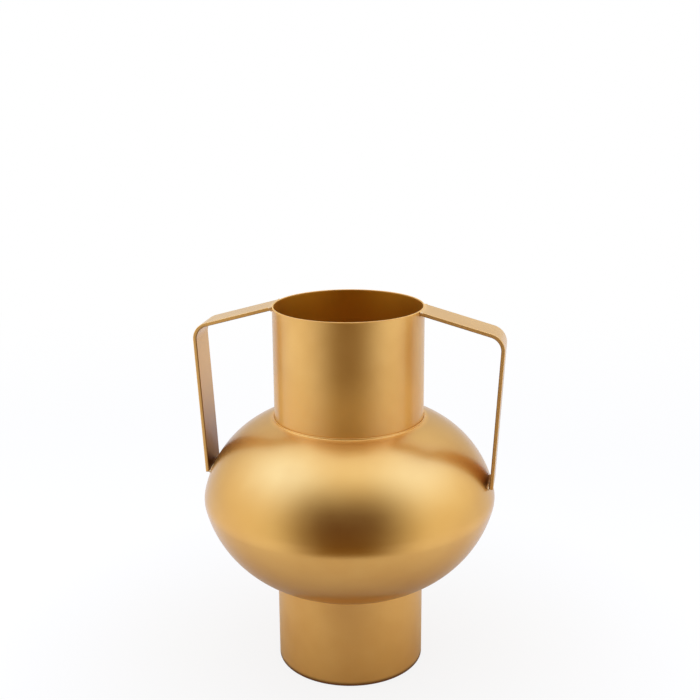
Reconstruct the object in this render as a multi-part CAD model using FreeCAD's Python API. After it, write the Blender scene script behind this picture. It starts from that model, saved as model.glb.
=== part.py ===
import FreeCAD, Part
import math
import os

# Urn vase of gold-lacquered sheet metal: an open neck tube, a wide belly of two spun
# half shells joined at their widest line, a foot tube closed by a base disc, and two
# flat strap handles that run from the rim out over the shoulders and down to the belly.
# Lengths are millimetres. +Z is up, the handles lie along X, and the origin is the
# centre of the felt's underside, on the surface that the vase stands on.

# Overall and neck
overall_height = 250.4
neck_outer_radius = 50.0
neck_wall = 1.0
neck_insertion = 5.0
rim_edge_radius = 0.35

# Belly: two half shells, each an edge arc at the seam and one large arc
shell_wall = 1.0
belly_radius = 98.5
seam_height = 119.7
belly_edge_radius = 20.0
dome_radius = 69.5
dome_rise = 55.3
bowl_radius = 77.2
bowl_depth = 58.4

# Collars turned out of the shells' holes: the tubes are set in them
collar_bend_radius = 0.6
collar_edge_radius = 0.3
neck_collar_length = 0.6
foot_collar_length = 6.0

# Foot, base disc and felt
foot_outer_radius = 50.0
foot_wall = 1.0
foot_edge_radius = 0.35
base_disc_thickness = 1.5
base_disc_recess = 2.0
felt_thickness = 2.4
felt_edge_gap = 1.2

# Strap handles, by the middle line of the strap
strap_width = 25.0
strap_thickness = 2.5
strap_edge_radius = 0.45
strap_bend_radius = 10.5
handle_rim_drop = 0.6
handle_corner_drop = 16.5
handle_belly_overhang = 3.9
handle_end_rise = 12.5
handle_end_cope = 0.1

# Braze rings, weld beads and the gap that the braze fills
braze_gap = 0.1
neck_braze_leg = 4.6
foot_braze_leg = 1.8
base_braze_leg = 2.2
seam_bead_width = 3.2
seam_bead_height = 0.8
handle_top_bead_radius = 1.7
handle_end_bead_radius = 1.9
handle_end_bead_rise = 1.2
bead_overhang = 0.9

# Spare length that lets a cut run right through
overrun = 10.0

AXIS = FreeCAD.Vector(0, 0, 1)
ORIGIN = FreeCAD.Vector(0, 0, 0)

# Sizes that follow from the ones above
neck_inner_radius = neck_outer_radius - neck_wall
foot_inner_radius = foot_outer_radius - foot_wall
foot_lower_edge = felt_thickness - base_disc_recess
handle_end_height = seam_height + handle_end_rise
base_disc_underside = felt_thickness
base_disc_top = base_disc_underside + base_disc_thickness


def point(r, z):
    """A point of a profile: its distance from the axis and its height."""
    return FreeCAD.Vector(r, 0, z)


def line(a, b):
    """A straight edge of a profile."""
    return Part.LineSegment(point(*a), point(*b)).toShape()


def on_circle(centre, radius, angle):
    """The point of a circle at an angle in radians."""
    return (centre[0] + radius * math.cos(angle), centre[1] + radius * math.sin(angle))


def arc(centre, radius, start, end):
    """A circular edge of a profile, from one angle to another."""
    stops = [on_circle(centre, radius, a) for a in (start, (start + end) / 2, end)]
    return Part.Arc(*(point(*p) for p in stops)).toShape()


def turned(edges):
    """The solid that a closed profile sweeps round the vase's axis."""
    return Part.Face(Part.Wire(edges)).revolve(ORIGIN, AXIS, 360)


def polygon(points):
    """The edges of a closed profile with straight sides."""
    return [line(a, b) for a, b in zip(points, points[1:] + points[:1])]


def ring(inner, outer, low, high):
    """A plain turned ring with square edges."""
    return turned(polygon([(inner, low), (outer, low), (outer, high), (inner, high)]))


def disc(radius, low, high):
    """A plain round disc."""
    return Part.makeCylinder(radius, high - low, point(0, low), AXIS)


def edges_at(solid, height):
    """The edges of a turned solid that lie level at a height."""
    span = solid.BoundBox.ZLength
    boxes = [(edge, edge.BoundBox) for edge in solid.Edges]
    return [e for e, b in boxes if b.ZLength + abs(b.ZMin - height) < span * 1e-6]


class HalfShell:
    """The section of one half shell, from the belly's seam to the collar round its hole.

    Its points are worked out with the height counted away from the seam, so that the
    dome, which rises from it, and the bowl, which hangs from it, share the work.
    """

    def __init__(self, way, crown_radius, tube_radius, tube_distance, collar_face, collar_length):
        self.way = way
        self.crown_radius = crown_radius
        self.collar_face = collar_face
        self.edge_centre = (belly_radius - belly_edge_radius, 0.0)
        self.crown_centre = self.find_crown_centre((tube_radius, tube_distance))
        self.bend_centre = self.find_bend_centre()
        self.join_angle = self.angle_from_crown(self.edge_centre)
        self.bend_angle = self.angle_from_crown(self.bend_centre)
        self.collar_end = self.bend_centre[1] + collar_length

    def find_crown_centre(self, meet):
        """The large arc carries on from the edge arc and passes through a point."""
        reach = self.crown_radius - belly_edge_radius
        across = (meet[0] - self.edge_centre[0], meet[1] - self.edge_centre[1])
        gap = math.hypot(*across)
        along = (reach**2 - self.crown_radius**2 + gap**2) / (2 * gap)
        aside = math.sqrt(reach**2 - along**2)
        return (
            self.edge_centre[0] + (along * across[0] - aside * across[1]) / gap,
            self.edge_centre[1] + (along * across[1] + aside * across[0]) / gap,
        )

    def find_bend_centre(self):
        """The bend touches the large arc from outside and the collar's outer face."""
        out = self.collar_face + collar_bend_radius
        slant = self.crown_radius + collar_bend_radius
        rise = math.sqrt(slant**2 - (out - self.crown_centre[0]) ** 2)
        return (out, self.crown_centre[1] + rise)

    def angle_from_crown(self, target):
        """The direction of a point, seen from the large arc's centre."""
        return math.atan2(
            target[1] - self.crown_centre[1], target[0] - self.crown_centre[0]
        )

    def place(self, p):
        """A point of this section in the vase's own heights."""
        return (p[0], self.height_of(p[1]))

    def height_of(self, from_seam):
        return seam_height + self.way * from_seam

    def placed_arc(self, centre, radius, start, end):
        return arc(self.place(centre), radius, self.way * start, self.way * end)

    def side(self, depth):
        """The arcs of the sheet's face at a depth under its outer face, and their ends."""
        edge_radius = belly_edge_radius - depth
        back = self.bend_angle + math.pi
        arcs = [
            self.placed_arc(self.edge_centre, edge_radius, 0.0, self.join_angle),
            self.placed_arc(
                self.crown_centre, self.crown_radius - depth, self.join_angle, self.bend_angle
            ),
            self.placed_arc(self.bend_centre, collar_bend_radius + depth, back, math.pi),
        ]
        start = (self.edge_centre[0] + edge_radius, 0.0)
        end = (self.collar_face - depth, self.bend_centre[1])
        return arcs, start, end

    def collar_edges(self, outer_end, inner_end):
        """The collar's straight faces and its free edge, which is rounded."""
        round_from = self.collar_end - collar_edge_radius
        outer_round = (outer_end[0] - collar_edge_radius, round_from)
        inner_round = (inner_end[0] + collar_edge_radius, round_from)
        quarter = math.pi / 2
        return [
            line(self.place(outer_end), self.place((outer_end[0], round_from))),
            self.placed_arc(outer_round, collar_edge_radius, 0.0, quarter),
            line(
                self.place((outer_round[0], self.collar_end)),
                self.place((inner_round[0], self.collar_end)),
            ),
            self.placed_arc(inner_round, collar_edge_radius, quarter, math.pi),
            line(self.place((inner_end[0], round_from)), self.place(inner_end)),
        ]

    def sheet(self):
        """The half shell itself: the sheet between its outer and inner faces."""
        outer, outer_start, outer_end = self.side(0.0)
        inner, inner_start, inner_end = self.side(shell_wall)
        collar = self.collar_edges(outer_end, inner_end)
        seam = line(self.place(inner_start), self.place(outer_start))
        return turned(outer + collar + inner[::-1] + [seam])

    def filled(self, depth):
        """All the space between the axis and the sheet's face at a depth."""
        arcs, start, end = self.side(depth)
        corners = [end, (end[0], self.collar_end), (0.0, self.collar_end), (0.0, 0.0), start]
        placed = [self.place(c) for c in corners]
        return turned(arcs + [line(a, b) for a, b in zip(placed, placed[1:])])

    def outer_radius(self, height):
        """The outer face's radius at a height, on the edge arc or on the large arc."""
        rise = self.way * (height - seam_height)
        if rise < belly_edge_radius * math.sin(self.join_angle):
            return self.edge_centre[0] + math.sqrt(belly_edge_radius**2 - rise**2)
        rise -= self.crown_centre[1]
        return self.crown_centre[0] + math.sqrt(self.crown_radius**2 - rise**2)


dome = HalfShell(
    1,
    dome_radius,
    neck_outer_radius,
    dome_rise,
    neck_outer_radius + braze_gap + shell_wall,
    neck_collar_length,
)
bowl = HalfShell(
    -1,
    bowl_radius,
    foot_outer_radius,
    bowl_depth,
    foot_inner_radius - braze_gap,
    foot_collar_length,
)
neck_lower_end = dome.height_of(dome.collar_end) - neck_insertion
foot_collar_end = bowl.height_of(bowl.collar_end)


def belly_outer_radius(height):
    """The belly's outer radius at a height, on the dome or on the bowl."""
    shell = dome if height > seam_height else bowl
    return shell.outer_radius(height)


def belly_space(depth):
    """All the space inside the belly's face at a depth, both half shells together."""
    return dome.filled(depth).fuse(bowl.filled(depth)).removeSplitter()


def make_neck_tube():
    """Straight open tube with a softened rim, standing in the dome's collar."""
    tube = ring(neck_inner_radius, neck_outer_radius, neck_lower_end, overall_height)
    return tube.makeFillet(rim_edge_radius, edges_at(tube, overall_height))


def make_foot_tube():
    """Straight tube round the bowl's collar, its upper end cut to the bowl's underside."""
    tube = ring(foot_inner_radius, foot_outer_radius, foot_lower_edge, seam_height)
    tube = tube.makeFillet(foot_edge_radius, edges_at(tube, foot_lower_edge))
    return tube.cut(bowl.filled(0.0))


def make_base_disc():
    """Flat disc set up inside the foot's lower end, which closes the vase for water."""
    return disc(foot_inner_radius - braze_gap, base_disc_underside, base_disc_top)


def make_felt_disc():
    """Felt glued under the base disc. It reaches a little lower than the foot's edge."""
    return disc(foot_inner_radius - felt_edge_gap, 0.0, base_disc_underside)


def corner_ring(radius, height, out, up):
    """A ring with a three-cornered section: a fillet of braze in an inside corner."""
    return turned(polygon([(radius, height), (radius + out, height), (radius, height + up)]))


def make_neck_braze():
    """Fillet inside the belly, in the corner between the neck tube and the dome."""
    corner = dome.height_of(dome.bend_centre[1])
    fillet = corner_ring(neck_outer_radius, corner, neck_braze_leg, -neck_braze_leg)
    return fillet.common(dome.filled(shell_wall))


def make_foot_braze():
    """Fillet inside the foot, under the free edge of the bowl's collar."""
    return corner_ring(foot_inner_radius, foot_collar_end, -foot_braze_leg, -foot_braze_leg)


def make_base_braze():
    """Fillet inside the foot, round the top of the base disc."""
    return corner_ring(foot_inner_radius, base_disc_top, -base_braze_leg, base_braze_leg)


def make_seam_bead():
    """Low round bead of weld inside the belly, over the line where the shells meet."""
    half = seam_bead_width / 2
    radius = (half**2 + seam_bead_height**2) / (2 * seam_bead_height)
    centre = belly_radius - shell_wall - seam_bead_height + radius
    bead = Part.makeTorus(centre, radius, point(0, seam_height), AXIS)
    return bead.common(belly_space(shell_wall))


def strap_middle_line():
    """The strap's middle line: a point inside the neck, its corner and its lower end."""
    half = strap_thickness / 2
    corner = (belly_radius + handle_belly_overhang, overall_height - handle_corner_drop)
    end_radius = belly_outer_radius(handle_end_height) + half - handle_end_cope
    start_height = overall_height - handle_rim_drop - half
    slope = (corner[1] - start_height) / (corner[0] - neck_outer_radius)
    start = (neck_outer_radius - overrun, start_height - slope * overrun)
    return start, corner, (end_radius, handle_end_height)


def strap_directions():
    """The angles at which the strap's upper and lower runs point, away from the neck."""
    start, corner, end = strap_middle_line()
    first = math.atan2(corner[1] - start[1], corner[0] - start[0])
    second = math.atan2(end[1] - corner[1], end[0] - corner[0])
    return first, second


def strap_profile():
    """The strap's outline seen from its side: two straight runs joined by one bend."""
    start, corner, end = strap_middle_line()
    first, second = strap_directions()
    setback = strap_bend_radius * math.tan((first - second) / 2)
    up, out = first + math.pi / 2, second + math.pi / 2
    centre = on_circle(on_circle(corner, -setback, first), -strap_bend_radius, up)

    def face(offset):
        radius = strap_bend_radius + offset
        return [
            line(on_circle(start, offset, up), on_circle(centre, radius, up)),
            arc(centre, radius, up, out),
            line(on_circle(centre, radius, out), on_circle(end, offset, out)),
        ]

    half = strap_thickness / 2
    start_edge = line(on_circle(start, -half, up), on_circle(start, half, up))
    end_edge = line(on_circle(end, half, out), on_circle(end, -half, out))
    return [start_edge] + face(half) + [end_edge] + face(-half)[::-1]


def strap_long_edges(strap):
    """The strap's edges along its length: all in its two sides but the cut ends."""
    end_length = strap_thickness * (1 + 1e-6)
    in_sides = [e for e in strap.Edges if e.BoundBox.YLength < strap_width / 2]
    return [e for e in in_sides if e.Length > end_length]


def bent_bar(width):
    """The bent strap as a bar of some width, before its ends are cut."""
    face = Part.Face(Part.Wire(strap_profile()))
    face.translate(FreeCAD.Vector(0, -width / 2, 0))
    return face.extrude(FreeCAD.Vector(0, width, 0))


def make_right_handle():
    """Flat strap bent once. Its ends are cut to the neck tube and to the belly."""
    strap = bent_bar(strap_width)
    strap = strap.makeFillet(strap_edge_radius, strap_long_edges(strap))
    neck_space = disc(neck_outer_radius, neck_lower_end, overall_height + overrun)
    return strap.cut(neck_space).cut(belly_space(0.0))


def bead_along(ring_radius, height, bead_radius):
    """A bar of weld on a circle round the axis, a little longer than the strap is wide."""
    bead = Part.makeTorus(ring_radius, bead_radius, point(0, height), AXIS)
    length = strap_width + 2 * bead_overhang
    corner = FreeCAD.Vector(0, -length / 2, height - bead_radius)
    reach = ring_radius + bead_radius
    return bead.common(Part.makeBox(reach, length, 2 * bead_radius, corner))


def make_top_weld(handle):
    """Weld in the corner under the strap's upper end, against the neck tube."""
    slant = strap_directions()[0]
    half_upright = strap_thickness / 2 / math.cos(slant)
    underside = overall_height - handle_rim_drop - strap_thickness / 2 - half_upright
    bead = bead_along(neck_outer_radius, underside, handle_top_bead_radius)
    neck_space = disc(neck_outer_radius, neck_lower_end, overall_height)
    pieces = bead.cut(neck_space).cut(handle).Solids
    return min(pieces, key=lambda piece: piece.CenterOfMass.z)


def make_end_weld():
    """Weld in the wedge between the strap's inner face and the belly, above its end."""
    height = handle_end_height + handle_end_bead_rise
    bead = bead_along(belly_outer_radius(height), height, handle_end_bead_radius)
    below = disc(belly_radius + overrun, handle_end_height - overrun, handle_end_height)
    pieces = bead.cut(below).cut(belly_space(0.0)).cut(bent_bar(strap_width + overrun)).Solids
    return max(pieces, key=lambda piece: piece.Volume)


def opposite(shape):
    """The same piece on the other side of the vase."""
    turned_round = shape.copy()
    turned_round.rotate(ORIGIN, AXIS, 180)
    return turned_round


def pair(shape):
    """One piece and its twin on the other side, as separate solids."""
    return Part.Compound([shape, opposite(shape)])


def main():
    os.makedirs("parts", exist_ok=True)
    handle = make_right_handle()
    pieces = {
        "neck_tube": make_neck_tube(),
        "upper_shell": dome.sheet(),
        "lower_shell": bowl.sheet(),
        "foot_tube": make_foot_tube(),
        "base_disc": make_base_disc(),
        "felt_disc": make_felt_disc(),
        "neck_braze_ring": make_neck_braze(),
        "foot_braze_ring": make_foot_braze(),
        "base_braze_ring": make_base_braze(),
        "seam_weld_bead": make_seam_bead(),
        "right_handle": handle,
        "left_handle": opposite(handle),
        "handle_top_welds": pair(make_top_weld(handle)),
        "handle_end_welds": pair(make_end_weld()),
    }
    for name, shape in pieces.items():
        shape.exportStep(f"parts/{name}.step")
        sound = all(s.isValid() and s.isClosed() and s.Volume > 0 for s in shape.Solids)
        state = "sound" if sound else "FAULTY"
        print(f"{name}: {len(shape.Solids)} solid(s), {shape.Volume:.1f} mm3, {state}")


main()
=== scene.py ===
import math
from typing import NamedTuple

import bmesh
import bpy
import numpy as np
from bpy.props import FloatProperty, FloatVectorProperty, PointerProperty
from mathutils import Matrix, Vector


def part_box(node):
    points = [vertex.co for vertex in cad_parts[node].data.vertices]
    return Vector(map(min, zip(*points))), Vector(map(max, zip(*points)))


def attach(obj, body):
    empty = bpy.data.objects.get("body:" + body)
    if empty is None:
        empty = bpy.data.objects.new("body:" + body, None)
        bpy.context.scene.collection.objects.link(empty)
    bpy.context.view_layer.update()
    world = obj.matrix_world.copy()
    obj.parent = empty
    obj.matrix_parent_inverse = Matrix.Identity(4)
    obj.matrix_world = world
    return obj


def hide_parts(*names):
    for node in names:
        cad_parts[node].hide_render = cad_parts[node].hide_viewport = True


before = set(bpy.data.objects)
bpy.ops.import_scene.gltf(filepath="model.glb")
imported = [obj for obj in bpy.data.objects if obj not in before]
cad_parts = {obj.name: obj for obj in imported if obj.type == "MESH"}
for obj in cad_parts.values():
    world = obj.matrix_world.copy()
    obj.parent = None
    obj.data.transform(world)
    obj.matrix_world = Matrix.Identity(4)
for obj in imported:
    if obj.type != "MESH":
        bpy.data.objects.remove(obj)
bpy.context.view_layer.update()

bl_info = {
    "name": "Urn Vase",
    "version": (1, 0, 0),
    "blender": (4, 5, 0),
    "location": "View3D > Sidebar > Urn Vase",
    "description": "Dresses the packed urn vase in gold lacquer and sets it in a soft studio",
    "category": "Add Mesh",
}

# Lengths are metres in the frame of the packed model: +Z is up, the straps lie along X and
# the felt's underside is at level 0.
ROOT = "root"
QUARTER_TURN = math.pi / 2
FULL_TURN = 2 * math.pi

# Points closer than this are merged, and edges that turn further than this are shaded sharp
SAME_PLACE = 1e-7
SHARP_ANGLE = math.radians(40)

# Values that a mesh keeps at each point: how far the lacquer is rubbed thin or painted lighter as
# a painted highlight, how much painted shade darkens it, whether the point lies inside, and how
# far a sheet hides what is behind it
WEAR_AND_HIGHLIGHT = "edge"
PAINTED_SHADE = "pool"
INSIDE = "inside"
COVER = "cover"

# How many points a stretch of an outline has
TURN_STEPS = 240
TUBE_STEPS = 40
LIP_STEPS = 3
ROUND_STEPS = 7
SMALL_ROUND_STEPS = 6


def turned_size(node):
    """The radius, lowest level and highest level of a turned CAD node."""
    low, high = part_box(node)
    return high.x, low.z, high.z


NECK_RADIUS, NECK_LOWER_END, RIM_LEVEL = turned_size("neck_tube")
BELLY_RADIUS, SEAM_LEVEL, NECK_COLLAR_END = turned_size("upper_shell")
FOOT_COLLAR_END = turned_size("lower_shell")[1]
FOOT_RADIUS, FOOT_LEVEL, FOOT_TOP = turned_size("foot_tube")
FELT_RADIUS, FELT_UNDERSIDE, FELT_TOP = turned_size("felt_disc")


def length(name, description, default):
    """A length that a user may change."""
    return FloatProperty(
        name=name, description=description, default=default, min=0.0, unit="LENGTH", precision=5
    )


def colour(name, description, default):
    """A colour that a user may change."""
    return FloatVectorProperty(
        name=name, description=description, default=default, size=3, min=0.0, soft_max=1.0,
        subtype="COLOR",
    )


def share(name, description, default, most=1.0):
    """A plain number from nothing to a limit."""
    return FloatProperty(name=name, description=description, default=default, min=0.0, max=most)


def angle(name, description, degrees):
    """An angle that a user may change."""
    return FloatProperty(
        name=name, description=description, default=math.radians(degrees), subtype="ANGLE"
    )


class VaseSizes(bpy.types.PropertyGroup):
    """Sizes of the sheet-metal pieces."""

    neck_radius: length("Neck Radius", "Outside of the neck tube", NECK_RADIUS)
    rim_level: length("Rim Level", "Height of the rim", RIM_LEVEL)
    neck_lower_end: length("Neck Lower End", "Where the neck ends in the belly", NECK_LOWER_END)
    belly_radius: length("Belly Radius", "Widest radius of the two shells", BELLY_RADIUS)
    seam_level: length("Seam Level", "Height at which the shells meet", SEAM_LEVEL)
    foot_radius: length("Foot Radius", "Outside of the foot tube", FOOT_RADIUS)
    foot_level: length("Foot Level", "Lower edge of the foot tube", FOOT_LEVEL)
    wall: length("Sheet", "Thickness of all the sheet metal", 0.001)
    rim_round: length("Edge Round", "Radius on the edges of the tubes", 0.00035)
    belly_edge_radius: length("Belly Edge", "Profile radius at the widest line", 0.020)
    dome_radius: length("Dome Radius", "Profile radius of the upper shell", 0.0695)
    dome_rise: length("Dome Rise", "From the seam up to the neck", 0.0553)
    bowl_radius: length("Bowl Radius", "Profile radius of the lower shell", 0.0772)
    bowl_depth: length("Bowl Depth", "From the seam down to the foot", 0.0584)
    collar_bend: length("Collar Bend", "Bend radius of the turned collars", 0.0006)
    collar_round: length("Collar Round", "Radius on a collar's free edge", 0.0003)
    joint_gap: length("Joint Gap", "Gap that the braze fills", 0.0001)
    felt_round: length("Felt Round", "Radius on the felt's soft cut edge", 0.0006)


class StrapSizes(bpy.types.PropertyGroup):
    """Sizes of the two strap handles and their welds."""

    width: length("Width", "Width of the strap", 0.025)
    thickness: length("Thickness", "Thickness of the strap", 0.0025)
    edge_round: length("Edge Round", "Radius on the strap's long edges", 0.00045)
    bend_radius: length("Bend Radius", "Radius of the bend's middle line", 0.0105)
    rim_drop: length("Rim Drop", "Strap's top below the rim", 0.0006)
    corner_drop: length("Corner Drop", "Corner of the middle line below the rim", 0.0165)
    overhang: length("Overhang", "Corner outside the belly's radius", 0.00388)
    end_rise: length("End Rise", "Strap's lower end above the seam", 0.0125)
    top_weld: length("Top Weld", "Leg of the weld under the upper end", 0.0017)
    top_pitch: length("Top Weld Pitch", "Step of the top weld's pools", 0.0021)
    end_weld: length("End Weld", "Height of the weld above the lower end", 0.0024)
    end_pitch: length("End Weld Pitch", "Step of the end weld's pools", 0.0024)
    weld_stop: length("Weld Stop", "Size of the blob at each end of the top weld", 0.0010)
    weld_overhang: length("Weld Overhang", "Weld beyond each side of the strap", 0.0005)


class VaseFinish(bpy.types.PropertyGroup):
    """Colours and finish of the lacquered metal and the felt."""

    lacquer: colour("Lacquer", "Gold lacquer over the sheet", (0.75, 0.420, 0.096))
    # The neck, foot and strap lacquers are the shells' lacquer painted lighter, as painted light
    neck_lacquer: colour("Neck Lacquer", "Gold lacquer over the neck", (0.83, 0.490, 0.130))
    foot_lacquer: colour("Foot Lacquer", "Gold lacquer over the foot", (0.80, 0.455, 0.110))
    strap_lacquer: colour("Strap Lacquer", "Gold lacquer over the straps", (0.81, 0.46, 0.115))
    deep_lacquer: colour("Deep Lacquer", "Where the lacquer lies thicker", (0.67, 0.335, 0.060))
    # Rubbed lacquer on the rim, and a painted highlight on the collar, the neck's foot and the weld
    # stops
    worn_edge: colour("Worn Edge", "Lacquer rubbed thin on rim and collar", (0.90, 0.52, 0.12))
    # Rubbed lacquer with a painted highlight on the straps' cut sides and outer arrises
    cut_edge: colour("Cut Edge", "Lacquer on the straps' cut edges", (0.98, 0.64, 0.24))
    # Painted shade: dark lacquer on the straps' faces, corners and ends, on the end welds and at
    # the foot's lower edge
    pooled_lacquer: colour("Pooled Lacquer", "Lacquer gathered in corners", (0.20, 0.07, 0.008))
    # Painted shade inside the neck: the lacquer there is painted darker and deeper
    inner_lacquer: colour("Inner Lacquer", "Lacquer inside the neck", (0.66, 0.28, 0.015))
    weld_lacquer: colour("Weld Lacquer", "Gold lacquer over the welds", (0.70, 0.39, 0.11))
    grazing: colour("Grazing Tint", "Lacquer's tint where the metal turns away", (0.78, 0.72, 0.63))
    # The tubes' and straps' grazing tints are painted paler, a painted reflection
    tube_grazing: colour("Tube Grazing Tint", "The same on the tubes", (0.89, 0.91, 0.85))
    strap_grazing: colour("Strap Grazing Tint", "The same on the straps", (0.94, 0.98, 1.0))
    shell_roughness: share("Shell Roughness", "Satin of the spun shells", 0.34)
    neck_roughness: share("Neck Roughness", "Satin of the neck tube", 0.47)
    foot_roughness: share("Foot Roughness", "Satin of the foot tube", 0.54)
    strap_roughness: share("Strap Roughness", "Satin of the straps", 0.48)
    weld_roughness: share("Weld Roughness", "Satin of the welds", 0.38)
    coat_roughness: share("Coat Roughness", "Haze of the clear lacquer", 0.22)
    grain_depth: length("Grain Depth", "Depth of the satin grain", 0.00001)
    rim_wear_reach: length("Rim Wear Reach", "How far down the rim is rubbed", 0.0007)
    # The collar's bend is rubbed and painted lighter, a painted highlight on its bright line
    collar_wear_reach: length("Collar Wear Reach", "How far the collar's bend is rubbed", 0.0011)
    # The neck's foot is painted lighter and rougher up to this reach, a painted reflection
    neck_wear_reach: length("Neck Wear Reach", "How far up the neck's foot is polished", 0.032)
    # Painted shade at the foot's lower edge, a painted reflection of the contact shadow
    foot_pool_reach: length("Foot Pool Reach", "How far up lacquer gathers on the foot", 0.0022)
    # Painted shade on a cut side beside the strap's inner face
    cut_pool_reach: length("Cut Pool Reach", "How wide lacquer gathers on a cut side", 0.0008)
    felt: colour("Felt", "Felt under the base", (0.030, 0.028, 0.027))
    fibre_depth: length("Fibre Depth", "Depth of the felt's fibres", 0.0004)


class StudioSettings(bpy.types.PropertyGroup):
    """Camera, floor, tent and softboxes."""

    camera_azimuth: angle("Camera Azimuth", "Camera's turn round the vase, to its right", 10.8)
    camera_distance: length("Camera Distance", "From the vase's axis, level", 0.7029)
    camera_aside: length("Camera Aside", "Camera's shift to the right", 0.00094)
    camera_level: length("Camera Level", "Height of the camera", 0.40735)
    camera_tilt: angle("Camera Tilt", "Camera's look below the horizon", 14.943)
    camera_roll: angle("Camera Roll", "Camera's turn about its own axis", -0.393)
    lens: share("Lens", "Focal length in millimetres", 56.572, 300.0)
    tent: colour("Tent", "Light of the tent round the vase", (1.00, 1.00, 0.95))
    tent_back: share("Tent Back", "Tent behind the vase, against its sides", 0.78, 2.0)
    floor: colour("Floor", "Pale floor", (0.92, 0.84, 0.72))
    # Painted shade of the floor under the vase
    floor_near: colour("Floor Near", "Pale floor under the vase", (0.50, 0.41, 0.30))
    softbox_aside: angle("Softbox Aside", "From the camera's side to a softbox", 88)
    softbox_height: angle("Softbox Height", "A softbox above the horizon", 52)
    broad_spread: angle("Broad Spread", "Reach of a softbox's glow", 34)
    narrow_spread: angle("Narrow Spread", "Reach of a softbox's middle", 26)
    broad_glow: colour("Broad Glow", "Glow of a softbox on the tent", (0.39, 0.42, 0.46))
    narrow_glow: colour("Narrow Glow", "Middle of a softbox", (0.03, 0.57, 2.35))
    right_share: share("Right Share", "Middle of the right softbox, against the left's", 0.85)
    shade_top: colour("Shade", "Dark side of the tent that the metal mirrors", (0.096, 0.031, 0.0))
    shade_foot: colour("Shade Foot", "The same, near the floor", (0.185, 0.095, 0.008))


# Shapes worked out with numpy


def crowded(count):
    """Shares from 0 to 1 in a column, crowded at both ends: (1 - cos t) / 2."""
    return (1 - np.cos(np.linspace(0, math.pi, count)))[:, None] / 2


def arc_points(centre, radius, start, end, count):
    """Points of a circular arc: centre plus radius times (cos a, sin a), with even steps of a."""
    a = np.linspace(start, end, count)
    return np.stack([centre[0] + radius * np.cos(a), centre[1] + radius * np.sin(a)], axis=1)


def quarter_points(centre, radius, quarter, count=ROUND_STEPS):
    """Points of a quarter circle, which starts that many quarter turns round from +X."""
    start = quarter * QUARTER_TURN
    return arc_points(centre, radius, start, start + QUARTER_TURN, count)


def run_points(start, end, count):
    """Points of a straight run, at crowded shares of the way from its start to its end."""
    t = crowded(count)
    return np.asarray(start) * (1 - t) + np.asarray(end) * t


def joined(*runs):
    """One closed outline from runs that each start where the last one ends."""
    return np.concatenate([run[:-1] for run in runs])


def bell(distance, reach):
    """A value that fades from 1: exp of minus (distance / reach) squared."""
    return np.exp(-((distance / reach) ** 2))


def placed(x, y, z, turn=1):
    """Points from their coordinates. A turn of -1 swings them half round, to the left strap."""
    return np.stack([turn * x, turn * y, z], axis=-1)


def link_object(name, data):
    """An object for a mesh or a camera, in the scene."""
    piece = bpy.data.objects.new(name, data)
    bpy.context.scene.collection.objects.link(piece)
    return piece


def set_values(mesh, label, values):
    """Gives each point of a mesh its value."""
    data = mesh.attributes.new(label, "FLOAT", "POINT").data
    data.foreach_set("value", values.astype(np.float32).ravel())


def surface(name, points, marks, closed_rows=True, closed_columns=True):
    """A closed mesh from a grid of points, with a quad between each four neighbours.

    The UV map counts rows and columns as shares of the whole. marks holds the values of the
    piece's attributes, by name. Faces are turned outwards by the sign of the volume:
    the sum over all faces of (a x b) . c, taken on each quad's two triangles.
    """
    rows, columns = points.shape[:2]
    i, j = np.meshgrid(
        np.arange(rows if closed_rows else rows - 1),
        np.arange(columns if closed_columns else columns - 1),
        indexing="ij",
    )
    i, j = i.ravel(), j.ravel()
    corner_rows = np.stack([i, i, i + 1, i + 1], axis=1)
    corner_columns = np.stack([j, j + 1, j + 1, j], axis=1)
    quads = (corner_rows % rows) * columns + corner_columns % columns
    shares = np.stack([corner_columns / columns, corner_rows / rows], axis=-1)
    flat = points.reshape(-1, 3)
    a, b, c, d = (flat[quads[:, k]] for k in range(4))
    volume = np.einsum("ij,ij->", np.cross(a, b), c) + np.einsum("ij,ij->", np.cross(a, c), d)
    if volume < 0:
        quads, shares = quads[:, ::-1], shares[:, ::-1]

    mesh = bpy.data.meshes.new(name)
    mesh.from_pydata(flat.tolist(), [], quads.tolist())
    mesh.uv_layers.new(name="sheet").uv.foreach_set("vector", shares.astype(np.float32).ravel())
    for label, values in marks.items():
        set_values(mesh, label, np.broadcast_to(values, (rows, columns)))
    merge(mesh)
    return link_object(name, mesh)


def merge(mesh):
    """Closes the rows that fall on one line or point, and shades all but true corners smooth."""
    work = bmesh.new()
    work.from_mesh(mesh)
    bmesh.ops.remove_doubles(work, verts=work.verts, dist=SAME_PLACE)
    bmesh.ops.dissolve_degenerate(work, edges=work.edges, dist=SAME_PLACE)
    work.to_mesh(mesh)
    work.free()
    mesh.polygons.foreach_set("use_smooth", np.ones(len(mesh.polygons), dtype=bool))
    mesh.set_sharp_from_angle(angle=SHARP_ANGLE)
    mesh.validate()


def open_sheet(name, points):
    """An open sheet of quads from a grid of points."""
    rows, columns = points.shape[:2]
    index = np.arange(rows * columns).reshape(rows, columns)
    quads = np.stack([index[:-1, :-1], index[:-1, 1:], index[1:, 1:], index[1:, :-1]], -1)
    mesh = bpy.data.meshes.new(name)
    mesh.from_pydata(points.reshape(-1, 3).tolist(), [], quads.reshape(-1, 4).tolist())
    return link_object(name, mesh)


def turned_points(outline):
    """Each point (r, z) of an outline goes round the axis to (r cos t, r sin t, z).

    The steps of t start half a step off, which keeps the widest points inside the solid's.
    """
    t = (np.arange(TURN_STEPS) + 0.5) * FULL_TURN / TURN_STEPS
    r, z = outline[:, :1], outline[:, 1:]
    return placed(r * np.cos(t), r * np.sin(t), np.broadcast_to(z, (len(z), len(t))))


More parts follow.
